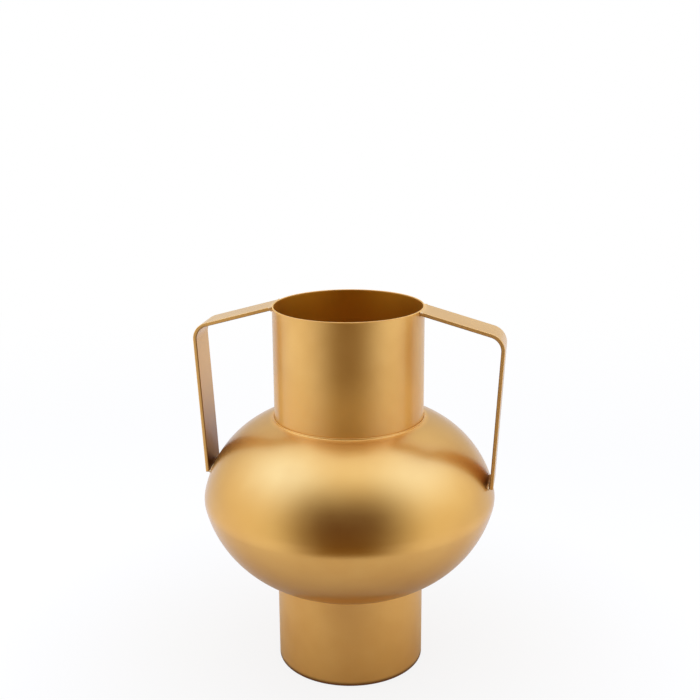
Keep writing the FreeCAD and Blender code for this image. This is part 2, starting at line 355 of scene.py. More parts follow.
class Band(NamedTuple):
    """A ring of painted highlight on rubbed lacquer, or of painted shade: its level, how far it
    reaches, and its strength.
    """

    level: float
    reach: float
    amount: float = 1.0


def turned(name, outline, worn=(), painted_shade=(), inside_radius=0.0):
    """A turned piece from a closed outline, with its bands of rubbed lacquer and painted highlight,
    and of painted shade.

    A band's value is its amount times exp(-(distance / reach) to the fourth). Points less
    far out than the inside radius count as inside.
    """
    r, z = outline[:, :1], outline[:, 1:]
    marks = {INSIDE: (r < inside_radius) * 1.0}
    for label, bands in ((WEAR_AND_HIGHLIGHT, worn), (PAINTED_SHADE, painted_shade)):
        marks[label] = 0 * z
        for band in bands:
            near = band.amount * np.exp(-(((z - band.level) / band.reach) ** 4))
            marks[label] = np.maximum(marks[label], near)
    return surface(name, turned_points(outline), marks)


def rounded_tube(inner, outer, low, high, round_radius):
    """Outline of a straight tube wall whose four corners are quarter circles."""
    a, b = inner + round_radius, outer - round_radius
    c, d = low + round_radius, high - round_radius
    return joined(
        run_points((outer, c), (outer, d), TUBE_STEPS),
        quarter_points((b, d), round_radius, 0),
        run_points((b, high), (a, high), LIP_STEPS),
        quarter_points((a, d), round_radius, 1),
        run_points((inner, d), (inner, c), TUBE_STEPS),
        quarter_points((a, c), round_radius, 2),
        run_points((a, low), (b, low), LIP_STEPS),
        quarter_points((b, c), round_radius, 3),
    )


class HalfShell:
    """Outline of a spun half shell: an edge arc at the seam, one large arc that carries it on,
    a small bend the other way, and a straight collar. Heights are counted from the seam."""

    EDGE_STEPS = 22
    CROWN_STEPS = 90
    BEND_STEPS = 9
    COLLAR_STEPS = 4

    def __init__(self, sizes, way, crown_radius, tube_radius, tube_distance, collar_face, end):
        self.sizes, self.way, self.crown_radius = sizes, way, crown_radius
        self.collar_face, self.collar_end = collar_face, way * (end - sizes.seam_level)
        self.edge_centre = (sizes.belly_radius - sizes.belly_edge_radius, 0.0)
        self.crown_centre = self.find_crown_centre(tube_radius, tube_distance)
        self.bend_centre = self.find_bend_centre()
        self.join_angle = self.seen_from_crown(self.edge_centre)
        self.bend_angle = self.seen_from_crown(self.bend_centre)

    def find_crown_centre(self, radius, distance):
        """Centre of the circle that touches the edge arc inside and passes through a point."""
        reach = self.crown_radius - self.sizes.belly_edge_radius
        across = (radius - self.edge_centre[0], distance)
        gap = math.hypot(*across)
        along = (reach**2 - self.crown_radius**2 + gap**2) / (2 * gap)
        aside = math.sqrt(reach**2 - along**2)
        return (
            self.edge_centre[0] + (along * across[0] - aside * across[1]) / gap,
            (along * across[1] + aside * across[0]) / gap,
        )

    def find_bend_centre(self):
        """Centre of the bend that touches the large arc from outside and the collar."""
        out = self.collar_face + self.sizes.collar_bend
        slant = self.crown_radius + self.sizes.collar_bend
        rise = math.sqrt(slant**2 - (out - self.crown_centre[0]) ** 2)
        return (out, self.crown_centre[1] + rise)

    def seen_from_crown(self, target):
        """Direction of a point from the large arc's centre."""
        return math.atan2(target[1] - self.crown_centre[1], target[0] - self.crown_centre[0])

    def side(self, depth):
        """Points of the face at a depth under the outer one, from the seam to the collar."""
        join, bend = self.join_angle, self.bend_angle
        edge_radius = self.sizes.belly_edge_radius - depth
        crown_radius = self.crown_radius - depth
        bend_radius = self.sizes.collar_bend + depth
        edge = arc_points(self.edge_centre, edge_radius, 0.0, join, self.EDGE_STEPS)
        crown = arc_points(self.crown_centre, crown_radius, join, bend, self.CROWN_STEPS)
        turn = arc_points(
            self.bend_centre, bend_radius, bend + math.pi, math.pi, self.BEND_STEPS
        )
        return np.concatenate([edge[:-1], crown[:-1], turn])

    def outline(self):
        """The whole section, in the vase's own levels."""
        outer, inner = self.side(0.0), self.side(self.sizes.wall)
        small, end = self.sizes.collar_round, self.collar_end
        outer_face, inner_face = outer[-1, 0], inner[-1, 0]
        right, left, round_from = outer_face - small, inner_face + small, end - small
        points = joined(
            outer,
            run_points(outer[-1], (outer_face, round_from), self.COLLAR_STEPS),
            quarter_points((right, round_from), small, 0, SMALL_ROUND_STEPS),
            run_points((right, end), (left, end), LIP_STEPS),
            quarter_points((left, round_from), small, 1, SMALL_ROUND_STEPS),
            run_points((inner_face, round_from), inner[-1], self.COLLAR_STEPS),
            inner[::-1],
            run_points(inner[0], outer[0], self.COLLAR_STEPS),
        )
        return np.stack([points[:, 0], self.level_of(points[:, 1])], axis=1)

    def level_of(self, from_seam):
        """A height from the seam as a level of the vase."""
        return self.sizes.seam_level + self.way * from_seam

    def outer_radius(self, level):
        """Radius of the outer face at a level: on the edge arc, then on the large arc."""
        rise = self.way * (np.asarray(level) - self.sizes.seam_level)
        edge_radius = self.sizes.belly_edge_radius
        near = self.edge_centre[0] + np.sqrt(np.maximum(edge_radius**2 - rise**2, 0))
        far = self.crown_centre[0] + np.sqrt(
            np.maximum(self.crown_radius**2 - (rise - self.crown_centre[1]) ** 2, 0)
        )
        return np.where(rise < edge_radius * math.sin(self.join_angle), near, far)

    def bend_level(self, radius):
        """Level of the outer face's bend at a radius beside the collar."""
        across = self.bend_centre[0] - radius
        bend = math.sqrt(self.sizes.collar_bend**2 - across**2)
        return self.level_of(self.bend_centre[1] - bend)


def make_dome(sizes):
    """The upper shell, whose collar stands round the neck tube."""
    collar_face = sizes.neck_radius + sizes.joint_gap + sizes.wall
    return HalfShell(
        sizes, 1, sizes.dome_radius, sizes.neck_radius, sizes.dome_rise, collar_face,
        NECK_COLLAR_END,
    )


def make_bowl(sizes):
    """The lower shell, whose collar hangs inside the foot tube."""
    collar_face = sizes.foot_radius - sizes.wall - sizes.joint_gap
    return HalfShell(
        sizes, -1, sizes.bowl_radius, sizes.foot_radius, sizes.bowl_depth, collar_face,
        FOOT_COLLAR_END,
    )


def foot_outline(sizes):
    """Outline of the foot tube's wall: a rounded lower edge, and a top cut to the bowl's bend."""
    outer, inner = sizes.foot_radius, sizes.foot_radius - sizes.wall
    low, small = sizes.foot_level, sizes.rim_round
    top = FOOT_TOP - sizes.joint_gap / 2
    inner_top = make_bowl(sizes).bend_level(inner) - sizes.joint_gap / 2
    return joined(
        run_points((outer, low + small), (outer, top), TUBE_STEPS),
        run_points((outer, top), (inner, inner_top), LIP_STEPS),
        run_points((inner, inner_top), (inner, low + small), TUBE_STEPS),
        quarter_points((inner + small, low + small), small, 2),
        run_points((inner + small, low), (outer - small, low), LIP_STEPS),
        quarter_points((outer - small, low + small), small, 3),
    )


def felt_outline(radius, low, high, soft):
    """Outline of the felt: a disc whose cut edge is soft. It starts and ends on the axis."""
    disc_steps = 30
    return np.concatenate([
        run_points((0.0, low), (radius - soft, low), disc_steps),
        quarter_points((radius - soft, low + soft), soft, -1, SMALL_ROUND_STEPS),
        quarter_points((radius - soft, high - soft), soft, 0, SMALL_ROUND_STEPS),
        run_points((radius - soft, high), (0.0, high), disc_steps),
    ])


# The straps and their welds


class StrapSide(NamedTuple):
    """What sets a strap apart from the other: its side, and how much painted highlight and painted
    shade it carries.

    The reach is the share of the lower run over which the painted shade on the inner face fades.
    The other two are amounts on the cut sides: rubbed lacquer with a painted highlight there, and
    painted shade beside the inner face.
    """

    side: str
    turn: int
    pool_reach: float
    cut_wear: float
    cut_pool: float


# The right strap's cut sides are painted lighter and the left's darker, and painted shade reaches
# far up the left strap's inner face
STRAPS = (
    StrapSide("right", 1, pool_reach=0.06, cut_wear=0.55, cut_pool=0.2),
    StrapSide("left", -1, pool_reach=0.52, cut_wear=0.15, cut_pool=0.7),
)

# How the lacquer lies on both straps, rubbed or darkened by painted shade: amounts, and shares of
# a run over which they change
GROUND_WEAR = 0.8
GROUND_REACH_SHARE = 0.03
INNER_SHADE = 0.1
OUTER_SHADE = 0.4
OUTER_SHADE_START_SHARE = 0.2
END_SHADE = 0.5

# A point of the section counts as outer when its normal points out at least this far
LEAST_OUTWARD = -0.1

# Points along a strap, and round its lower end
UPPER_RUN_STEPS = 26
BEND_STEPS = 26
LOWER_RUN_STEPS = 44
FACE_STEPS = 18
SIDE_STEPS = 6
END_STEPS = 6

# Points across a weld
BEAD_STEPS = 84
TOP_ROUND_STEPS = 12
WEDGE_STEPS = 9
STOP_RINGS = 13
STOP_SEGMENTS = 20

# Depth of a bead's ripple, its arch and how far it sinks into the sheet, as shares of the
# bead's height and of the sheet
TOP_RIPPLE_SHARE = 0.16
END_RIPPLE_SHARE = 0.22
ARCH_SHARE = 0.2
SUNK_SHARE = 0.25

# A weld stop's three half sizes, and how far out and up its middle lies, as shares of its size
STOP_HALF_SHARES = (1.1, 0.9, 0.8)
STOP_OUT_SHARE = 1.4
STOP_UP_SHARE = 0.7
# A weld stop's painted highlight, and the end weld's painted shade, as amounts
STOP_PAINTED_HIGHLIGHT = 1.0
END_BEAD_SHADE = 0.7


class StrapRoute:
    """The strap's middle line in the XZ plane: a run down from the neck, a bend, a run to the
    belly. A point of the strap is given by how far it is along the line, across it in Y, and
    off it along the line's normal."""

    def __init__(self, sizes, strap, dome):
        half = strap.thickness / 2
        corner = (sizes.belly_radius + strap.overhang, sizes.rim_level - strap.corner_drop)
        end_level = sizes.seam_level + strap.end_rise
        end = (float(dome.outer_radius(end_level)) + half, end_level)
        start = (sizes.neck_radius, sizes.rim_level - strap.rim_drop - half)
        self.first = math.atan2(corner[1] - start[1], corner[0] - start[0])
        self.second = math.atan2(end[1] - corner[1], end[0] - corner[0])
        setback = strap.bend_radius * math.tan((self.first - self.second) / 2)
        up = self.first + QUARTER_TURN
        self.centre = (
            corner[0] - setback * math.cos(self.first) - strap.bend_radius * math.cos(up),
            corner[1] - setback * math.sin(self.first) - strap.bend_radius * math.sin(up),
        )
        self.start, self.end, self.bend_radius = start, end, strap.bend_radius
        self.neck_radius = sizes.neck_radius

    def upper_run(self, share_along, across, off):
        """Points of the upper run. It starts on the neck, at x = sqrt(R squared - y squared)."""
        up = self.first + QUARTER_TURN
        base_x = self.start[0] + off * math.cos(up)
        base_z = self.start[1] + off * math.sin(up)
        ahead = (np.sqrt(self.neck_radius**2 - across**2) - base_x) / math.cos(self.first)
        begin = placed(
            base_x + ahead * math.cos(self.first), across, base_z + ahead * math.sin(self.first)
        )
        return begin * (1 - share_along) + self.bend(0.0, across, off) * share_along

    def bend(self, share_along, across, off):
        """Points of the bend: its centre plus (radius + off) times the turning normal."""
        a = self.first + (self.second - self.first) * share_along + QUARTER_TURN
        radius = self.bend_radius + off
        x = self.centre[0] + radius * np.cos(a)
        z = self.centre[1] + radius * np.sin(a)
        return placed(x, across + 0 * x, z)

    def lower_run(self, share_along, across, off, short=0.0):
        """Points of the lower run, which may stop a little short of the strap's end."""
        out = self.second + QUARTER_TURN
        x = self.end[0] + off * math.cos(out) - short * math.cos(self.second)
        z = self.end[1] + off * math.sin(out) - short * math.sin(self.second)
        finish = placed(x, across + 0 * x, z)
        return self.bend(1.0, across, off) * (1 - share_along) + finish * share_along

    def inner_face(self, level, half):
        """X of the lower run's inner face at a level."""
        out = self.second + QUARTER_TURN
        x = self.end[0] - half * math.cos(out)
        z = self.end[1] - half * math.sin(out)
        return x + (level - z) * math.cos(self.second) / math.sin(self.second)


def strap_section(strap):
    """Rounded rectangle across the strap: its points (across, off) and outward normals."""
    w, h, r = strap.width / 2, strap.thickness / 2, strap.edge_round
    corners = [(w - r, h - r), (r - w, h - r), (r - w, r - h), (w - r, r - h)]
    rounds = [quarter_points(corner, r, k) for k, corner in enumerate(corners)]
    runs = []
    for k, count in enumerate((FACE_STEPS, SIDE_STEPS, FACE_STEPS, SIDE_STEPS)):
        runs += [rounds[k], run_points(rounds[k][-1], rounds[(k + 1) % 4][0], count)]
    points = joined(*runs)
    core = np.clip(points, (r - w, r - h), (w - r, h - r))
    return points, (points - core) / r


def strap_surface(name, route, strap, finish, kind):
    """The strap: its section carried along the route, with a rounded lower end.

    Each row of the grid is one place along the strap. The lower end draws in by r (1 - cos t)
    while it runs out by r sin t, and closes on the middle line. Lacquer is thin on the upper
    end. The outer arrises and the cut sides carry rubbed lacquer and a painted highlight. Painted
    shade darkens the inner face, most at its arrises and towards the lower end, the cut sides
    beside it, the outer face of the lower run, and the end.
    """
    section, normals = strap_section(strap)
    across, off = section[:, 0], section[:, 1]
    rounding = strap.edge_round
    upper, lower = crowded(UPPER_RUN_STEPS)[:-1], crowded(LOWER_RUN_STEPS)[:-1]
    turning = np.linspace(0, 1, BEND_STEPS)[:-1, None]

    sideways, outward = np.abs(normals[:, 0]), normals[:, 1]
    inward, outer = np.clip(-outward, 0, 1), np.clip(outward, 0, 1)
    arris = 2 * sideways * np.abs(outward)
    inner_arris = arris * (outward < 0)
    # Rubbed lacquer with a painted highlight on the outer arrises and the cut sides
    worn = np.maximum(arris, kind.cut_wear * sideways) * (outward > LEAST_OUTWARD)
    ground_wear_and_highlight = np.maximum(worn, GROUND_WEAR * bell(upper, GROUND_REACH_SHARE))
    # Painted shade on the inner face and its arrises, on the cut sides beside it, up the inner face
    # from the lower end, and on the lower run's outer face
    beside = kind.cut_pool * sideways * bell(off + strap.thickness / 2, finish.cut_pool_reach)
    painted_shade = np.maximum(np.maximum(INNER_SHADE * inward, inner_arris), beside)
    darkened = np.maximum(painted_shade, inward * bell(1 - lower, kind.pool_reach))
    darkened = np.maximum(
        darkened, OUTER_SHADE * outer * np.minimum(lower / OUTER_SHADE_START_SHARE, 1)
    )

    t = np.linspace(0, QUARTER_TURN, END_STEPS)[:, None]
    drawn_in, short = rounding * (1 - np.cos(t)), rounding * (1 - np.sin(t))
    end_across, end_off = across - drawn_in * normals[:, 0], off - drawn_in * normals[:, 1]
    a, b = across[None, :], off[None, :]
    rows = (
        (route.upper_run(0.0, a, 0 * b), GROUND_WEAR, 0.0),
        (route.upper_run(upper[:, :, None], a, b), ground_wear_and_highlight, inner_arris),
        (route.bend(turning, a, b), worn, painted_shade),
        (route.lower_run(lower[:, :, None], a, b, rounding), worn, darkened),
        # The end face is painted in shade
        (route.lower_run(1.0, end_across, end_off, short), 0.0, np.maximum(inward, END_SHADE)),
        (route.lower_run(1.0, end_across[-1:], 0 * end_off[-1:]), 0.0, END_SHADE),
    )
    points = np.concatenate([row[0] for row in rows]) * (kind.turn, kind.turn, 1)
    marks = {
        label: np.concatenate([np.broadcast_to(row[k], row[0].shape[:-1]) for row in rows])
        for k, label in ((1, WEAR_AND_HIGHLIGHT), (2, PAINTED_SHADE))
    }
    return surface(name, points, marks, closed_rows=False)


def ripple(across, pitch, depth):
    """Overlapping weld pools: 1 - depth times the share since the last pool, squared."""
    since = np.mod(across / pitch, 1.0)
    return 1 - depth * since**2


def bead_ends(across, half):
    """Round ends of a bead: the square root of 1 - (across / half) to the fourth."""
    return np.sqrt(np.maximum(1 - (across / half) ** 4, 0))


def bead_across(strap):
    """Places across a bead in a column, and half its width."""
    half = strap.width / 2 + strap.weld_overhang
    return np.linspace(-half, half, BEAD_STEPS)[:, None], half


def top_weld_points(sizes, strap, route, turn):
    """Weld under the strap's upper end: a quarter round in the corner against the neck.

    Each point is out from the neck by leg cos t and down from the strap by leg sin t, and
    the leg swells and shrinks with the pools along the bead.
    """
    across, half = bead_across(strap)
    ends = bead_ends(across, half)
    leg = strap.top_weld * ripple(across, strap.top_pitch, TOP_RIPPLE_SHARE) * ends
    sunk = SUNK_SHARE * sizes.wall * ends
    t = np.linspace(0, QUARTER_TURN, TOP_ROUND_STEPS)[None, :]
    out = np.concatenate([leg * np.cos(t), -sunk, -sunk], axis=1)
    fall = np.concatenate([leg * np.sin(t), leg, -sunk], axis=1)
    radius = sizes.neck_radius + out
    aside = across / sizes.neck_radius
    x, y = radius * np.cos(aside), radius * np.sin(aside)
    face = route.start[1] - strap.thickness / 2 / math.cos(route.first)
    return placed(x, y, face + (x - route.start[0]) * math.tan(route.first) - fall, turn)


def weld_stop_points(sizes, strap, route, side, turn):
    """Blob of weld that fills the corner between the strap's cut side and the round neck.

    A point is the middle plus (a cos u cos v, b cos u sin v, c sin u).
    """
    u = np.linspace(-QUARTER_TURN, QUARTER_TURN, STOP_RINGS)[:, None]
    v = (np.arange(STOP_SEGMENTS) * FULL_TURN / STOP_SEGMENTS)[None, :]
    half, size = strap.width / 2, strap.weld_stop
    a, b, c = (part * size for part in STOP_HALF_SHARES)
    out = math.sqrt(sizes.neck_radius**2 - half**2) + STOP_OUT_SHARE * size
    level = route.start[1] + (out - route.start[0]) * math.tan(route.first)
    x = out + a * np.cos(u) * np.cos(v)
    y = side * half + b * np.cos(u) * np.sin(v)
    z = level + STOP_UP_SHARE * size + c * np.sin(u) + 0 * v
    return placed(x, y, z, turn)


def end_weld_points(strap, route, dome, turn):
    """Weld above the strap's lower end: it fills the wedge between the strap and the belly.

    Between the belly, at x = sqrt(r squared - y squared), and the strap's inner face, the
    bead's top is a low arch whose height follows the pools along it. Its underside runs
    back over the same shares, so that the two meet in one line at both ends.
    """
    across, half = bead_across(strap)
    low = route.end[1] + 0 * across
    swell = ripple(across, strap.end_pitch, END_RIPPLE_SHARE) * bead_ends(across, half)
    high = low + strap.end_weld * swell
    t = np.linspace(0, 1, WEDGE_STEPS)[None, :]
    up, down = low + (high - low) * t, high + (low - high) * t
    face = strap.thickness / 2

    def belly(level):
        return np.sqrt(dome.outer_radius(level) ** 2 - across**2)

    arch = ARCH_SHARE * (high - low) * (1 - (2 * t - 1) ** 2)
    near, far = belly(high), route.inner_face(high, face)
    foot_near, foot_far = belly(low), route.inner_face(low, face)
    x = np.concatenate(
        [
            route.inner_face(up, face), far + (near - far) * t[:, 1:], belly(down)[:, 1:],
            foot_near + (foot_far - foot_near) * t[:, 1:-1],
        ],
        axis=1,
    )
    z = np.concatenate([up, (high + arch)[:, 1:], down[:, 1:], low + 0 * t[:, 1:-1]], axis=1)
    return placed(x, across + 0 * x, z, turn)


# Nodes that the materials share

# Features of each pattern per metre
CLOUDS = 26.0
SPECKLE = 2600.0
PITS = 2200.0
PATCHES = 60.0
WEAR_BREAKS = 180.0
FIBRES = 900.0

# Values of the noise between which a pattern goes from nothing to all
CLOUD_RANGE = (0.35, 0.68)
SPECKLE_RANGE = (0.3, 0.75)
PATCH_RANGE = (0.3, 0.7)
FIBRE_RANGE = (0.45, 0.75)

# The satin's unevenness comes from patches and from the grain's marks, in these shares
PATCH_SHARE = 0.6
MARK_SHARE = 0.4

# Rubbing and painted highlight keep at least this share where they are broken up, and this share
# of the specks' places stays empty
UNBROKEN_SHARE = 0.8
EMPTY_SHARE = 0.72


def set_inputs(tree, node, values):
    """Sets or links a node's inputs, by name or number: a value may be another node's output."""
    for key, value in values.items():
        if isinstance(value, bpy.types.NodeSocket):
            tree.links.new(value, node.inputs[key])
        else:
            node.inputs[key].default_value = value


def add_node(tree, kind, values=None, **settings):
    """A node with its settings, and with values or links on its inputs."""
    node = tree.nodes.new(kind)
    for key, value in settings.items():
        setattr(node, key, value)
    set_inputs(tree, node, values or {})
    return node


def new_group(name, inputs, outputs):
    """An empty shader node group with number and colour sockets: its tree, inputs and output."""
    tree = bpy.data.node_groups.new(name, "ShaderNodeTree")
    for label, default in inputs.items():
        kind = "NodeSocketColor" if isinstance(default, tuple) else "NodeSocketFloat"
        socket = tree.interface.new_socket(label, in_out="INPUT", socket_type=kind)
        socket.default_value = default
    for label, kind in outputs.items():
        tree.interface.new_socket(label, in_out="OUTPUT", socket_type=kind)
    return tree, tree.nodes.new("NodeGroupInput").outputs, tree.nodes.new("NodeGroupOutput")


def bare_tree(owner):
    """The emptied node tree of a material or a world."""
    owner.use_nodes = True
    owner.node_tree.nodes.clear()
    return owner.node_tree


def here(tree):
    """A point's place in the piece's own coordinates."""
    return add_node(tree, "ShaderNodeTexCoord").outputs["Object"]


def attribute(tree, name):
    """A value that a piece keeps at each of its points."""
    node = add_node(tree, "ShaderNodeAttribute", attribute_name=name, attribute_type="GEOMETRY")
    return node.outputs["Fac"]


def noise(tree, scale, detail, stretch=(1, 1, 1), roughness=0.55):
    """Noise on the piece's own coordinates, which may be stretched along its axes."""
    place = add_node(tree, "ShaderNodeMapping", {"Vector": here(tree), "Scale": stretch})
    return add_node(tree, "ShaderNodeTexNoise", {
        "Vector": place.outputs["Vector"], "Scale": scale, "Detail": detail,
        "Roughness": roughness,
    }).outputs["Fac"]


def math_node(tree, operation, a, b):
    """The result of one sum on two sockets or numbers."""
    node = add_node(tree, "ShaderNodeMath", {0: a, 1: b}, operation=operation)
    return node.outputs["Value"]


def plus(tree, a, b):
    """One value and another."""
    return math_node(tree, "ADD", a, b)


def times(tree, a, b):
    """One value times another."""
    return math_node(tree, "MULTIPLY", a, b)


def vector_math(tree, operation, values):
    """The outputs of one sum on vectors or colours, given by socket name or number."""
    return add_node(tree, "ShaderNodeVectorMath", values, operation=operation).outputs


def scaled(tree, vector, factor):
    """A vector or colour times a number. Each may be a socket or a plain value."""
    return vector_math(tree, "SCALE", {0: vector, "Scale": factor})["Vector"]


def ranged(tree, value, low, high, to_low=0.0, to_high=1.0, kind="SMOOTHSTEP"):
    """A value moved from one range to another, with soft ends unless the kind is LINEAR."""
    return add_node(tree, "ShaderNodeMapRange", {
        "Value": value, "From Min": low, "From Max": high, "To Min": to_low, "To Max": to_high,
    }, interpolation_type=kind).outputs["Result"]


def mixed(tree, factor, a, b):
    """Two colours mixed by a factor. Each may be a socket or a plain colour."""
    node = add_node(tree, "ShaderNodeMix", {"Factor": factor, 6: a, 7: b}, data_type="RGBA")
    return node.outputs[2]


def mixed_shaders(tree, factor, a, b):
    """Two shaders mixed by a factor."""
    return add_node(tree, "ShaderNodeMixShader", {"Fac": factor, 1: a, 2: b}).outputs["Shader"]


def emission(tree, tint):
    """A plain glow, which no light changes."""
    return add_node(tree, "ShaderNodeEmission", {"Color": tint, "Strength": 1.0}).outputs[0]


def clear(tree):
    """Nothing at all, seen as what lies behind."""
    return add_node(tree, "ShaderNodeBsdfTransparent").outputs["BSDF"]


def opaque(rgb):
    """A colour with its alpha."""
    return (*rgb, 1.0)


def make_tone_group():
    """Lacquer colour that lies thinner and thicker: broad clouds and a fine speckle."""
    tree, into, out = new_group(
        "LacquerTone",
        {"Lacquer": (0.7, 0.4, 0.1, 1), "Deep": (0.6, 0.3, 0.1, 1), "Clouds": 0.5, "Speckle": 0.3},
        {"Colour": "NodeSocketColor"},
    )
    clouds = ranged(tree, noise(tree, CLOUDS, 2.0), *CLOUD_RANGE)
    speckle = ranged(tree, noise(tree, SPECKLE, 1.0), *SPECKLE_RANGE)
    clouds, speckle = times(tree, clouds, into["Clouds"]), times(tree, speckle, into["Speckle"])
    tone = mixed(tree, plus(tree, clouds, speckle), into["Lacquer"], into["Deep"])
    set_inputs(tree, out, {"Colour": tone})
    return tree


def make_grain_group():
    """Satin grain: fine pits all over, and marks drawn out along the way the piece was worked.

    Across and Along count the marks per metre, level and up and down.
    """
    tree, into, out = new_group(
        "SatinGrain",
        {"Across": 1.0, "Along": 1.0, "Marks": 0.5, "Pits": 0.5},
        {"Height": "NodeSocketFloat", "Rough": "NodeSocketFloat"},
    )
    stretch = add_node(tree, "ShaderNodeCombineXYZ", {
        "X": into["Across"], "Y": into["Across"], "Z": into["Along"],
    })
    drawn = noise(tree, 1.0, 4.0, stretch.outputs["Vector"], roughness=0.6)
    pits, patches = noise(tree, PITS, 2.0), noise(tree, PATCHES, 3.0)
    height = plus(tree, times(tree, drawn, into["Marks"]), times(tree, pits, into["Pits"]))
    rough = plus(tree, times(tree, patches, PATCH_SHARE), times(tree, drawn, MARK_SHARE))
    set_inputs(tree, out, {"Height": height, "Rough": rough})
    return tree


def make_speck_group():
    """Specks of dust under the lacquer: a few small pimples, far apart."""
    tree, into, out = new_group(
        "LacquerSpecks", {"Spacing": 130.0, "Size": 0.045}, {"Mask": "NodeSocketFloat"}
    )
    cells = add_node(tree, "ShaderNodeTexVoronoi", {
        "Vector": here(tree), "Scale": into["Spacing"], "Randomness": 1.0,
    }).outputs
    share_out = math_node(tree, "DIVIDE", cells["Distance"], into["Size"])
    spot = ranged(tree, math_node(tree, "SUBTRACT", 1.0, share_out), 0.0, 1.0)
    parts = add_node(tree, "ShaderNodeSeparateColor", {"Color": cells["Color"]})
    chosen = math_node(tree, "GREATER_THAN", parts.outputs["Red"], EMPTY_SHARE)
    set_inputs(tree, out, {"Mask": times(tree, spot, chosen)})
    return tree


def make_painted_shade_group():
    """Masks of painted shade: darker lacquer in corners, and the painted shade on the neck's
    inside.
    """
    tree, into, out = new_group(
        "PaintedShadeMasks", {"Amount": 1.0}, {"PaintedShade": "NodeSocketFloat", "Inside": "NodeSocketFloat"}
    )
    pool = times(tree, attribute(tree, PAINTED_SHADE), into["Amount"])
    set_inputs(tree, out, {"PaintedShade": pool, "Inside": attribute(tree, INSIDE)})
    return tree


def make_wear_and_highlight_group():
    """Where edges are rubbed or carry a painted highlight: the piece's own edge attribute, broken
    up a little.
    """
    tree, into, out = new_group("WearAndHighlight", {"Amount": 1.0}, {"Mask": "NodeSocketFloat"})
    broken = ranged(tree, noise(tree, WEAR_BREAKS, 2.0), *PATCH_RANGE, UNBROKEN_SHARE)
    worn = times(tree, attribute(tree, WEAR_AND_HIGHLIGHT), broken)
    set_inputs(tree, out, {"Mask": times(tree, worn, into["Amount"])})
    return tree


GROUP_MAKERS = {
    "LacquerTone": make_tone_group,
    "SatinGrain": make_grain_group,
    "LacquerSpecks": make_speck_group,
    "PaintedShadeMasks": make_painted_shade_group,
    "WearAndHighlight": make_wear_and_highlight_group,
}


def place_group(tree, name, values):
    """A shared group placed in a material with its own values. The first use makes the group."""
    group = bpy.data.node_groups.get(name) or GROUP_MAKERS[name]()
    return add_node(tree, "ShaderNodeGroup", values, node_tree=group).outputs


# Materials

# The lacquer: how far its colour follows the clouds and the speckle, how far its satin swings
# and coarsens where it is rubbed or carries a painted highlight, how high a speck stands in grain
# depths, and its clear coat
CLOUD_AMOUNT = 0.35
SPECKLE_AMOUNT = 0.12
SATIN_SWING = 0.03
WORN_COARSENESS = 0.22
SPECK_HEIGHT = 2.5
COAT_WEIGHT = 0.7
COAT_IOR = 1.45

# The felt: how much longer than wide its fibres are, and how much paler the upper ones
FIBRE_LENGTH = 2.6
FIBRE_PALENESS = 3.2


class Grain(NamedTuple):
    """Satin grain: its marks per metre, level and up and down, and the depths of the marks and
    of the pits, as shares of the grain's depth."""

    across: float
    along: float
    marks: float
    pits: float


SHELL_GRAIN = Grain(across=30.0, along=1600.0, marks=0.15, pits=0.35)
TUBE_GRAIN = Grain(across=1500.0, along=25.0, marks=0.2, pits=0.4)
STRAP_GRAIN = Grain(across=1500.0, along=40.0, marks=0.06, pits=0.1)
WELD_GRAIN = Grain(across=900.0, along=900.0, marks=1.5, pits=1.0)


class Look(NamedTuple):
    """What sets one kind of gold piece apart: its colours, its satin, its grain, and how far its
    edges are rubbed or painted with a highlight.
    """

    tint: tuple
    grazing: tuple
    worn: tuple
    roughness: float
    grain: Grain
    wear: float = 1.0


def gold(name, finish, look):
    """Satin gold lacquer over sheet metal, under a clear coat."""
    found = bpy.data.materials.get(name)
    if found:
        return found
    material = bpy.data.materials.new(name)
    material.use_nodes = True
    tree = material.node_tree
    tone = place_group(tree, "LacquerTone", {
        "Lacquer": opaque(look.tint), "Deep": opaque(finish.deep_lacquer),
        "Clouds": CLOUD_AMOUNT, "Speckle": SPECKLE_AMOUNT,
    })
    grain = place_group(tree, "SatinGrain", {
        label.capitalize(): value for label, value in look.grain._asdict().items()
    })
    specks = place_group(tree, "LacquerSpecks", {})
    worn = place_group(tree, "WearAndHighlight", {"Amount": look.wear})
    pools = place_group(tree, "PaintedShadeMasks", {})
    # Painted shade inside the neck and in corners, and rubbed lacquer with a painted highlight on
    # edges
    base = mixed(tree, pools["Inside"], tone["Colour"], opaque(finish.inner_lacquer))
    base = mixed(tree, pools["PaintedShade"], base, opaque(finish.pooled_lacquer))
    base = mixed(tree, worn["Mask"], base, opaque(look.worn))
    low, high = look.roughness - SATIN_SWING, look.roughness + SATIN_SWING
    uneven = ranged(tree, grain["Rough"], *PATCH_RANGE, low, high, kind="LINEAR")
    coarser = times(tree, worn["Mask"], WORN_COARSENESS)
    pimples = times(tree, specks["Mask"], SPECK_HEIGHT)
    bump = add_node(tree, "ShaderNodeBump", {
        "Strength": 1.0, "Distance": finish.grain_depth,
        "Height": plus(tree, grain["Height"], pimples),
    })
    set_inputs(tree, tree.nodes["Principled BSDF"], {
        "Base Color": base, "Metallic": 1.0, "Specular Tint": opaque(look.grazing),
        "Roughness": plus(tree, uneven, coarser), "Coat Weight": COAT_WEIGHT,
        "Coat Roughness": finish.coat_roughness, "Coat IOR": COAT_IOR,
        "Normal": bump.outputs["Normal"],
    })
    return material


def shell_gold(finish):
    """Gold of the spun shells, with faint rings round the axis."""
    return gold("gold_spun_shell", finish, Look(
        finish.lacquer, finish.grazing, finish.worn_edge, finish.shell_roughness,
        SHELL_GRAIN,
    ))


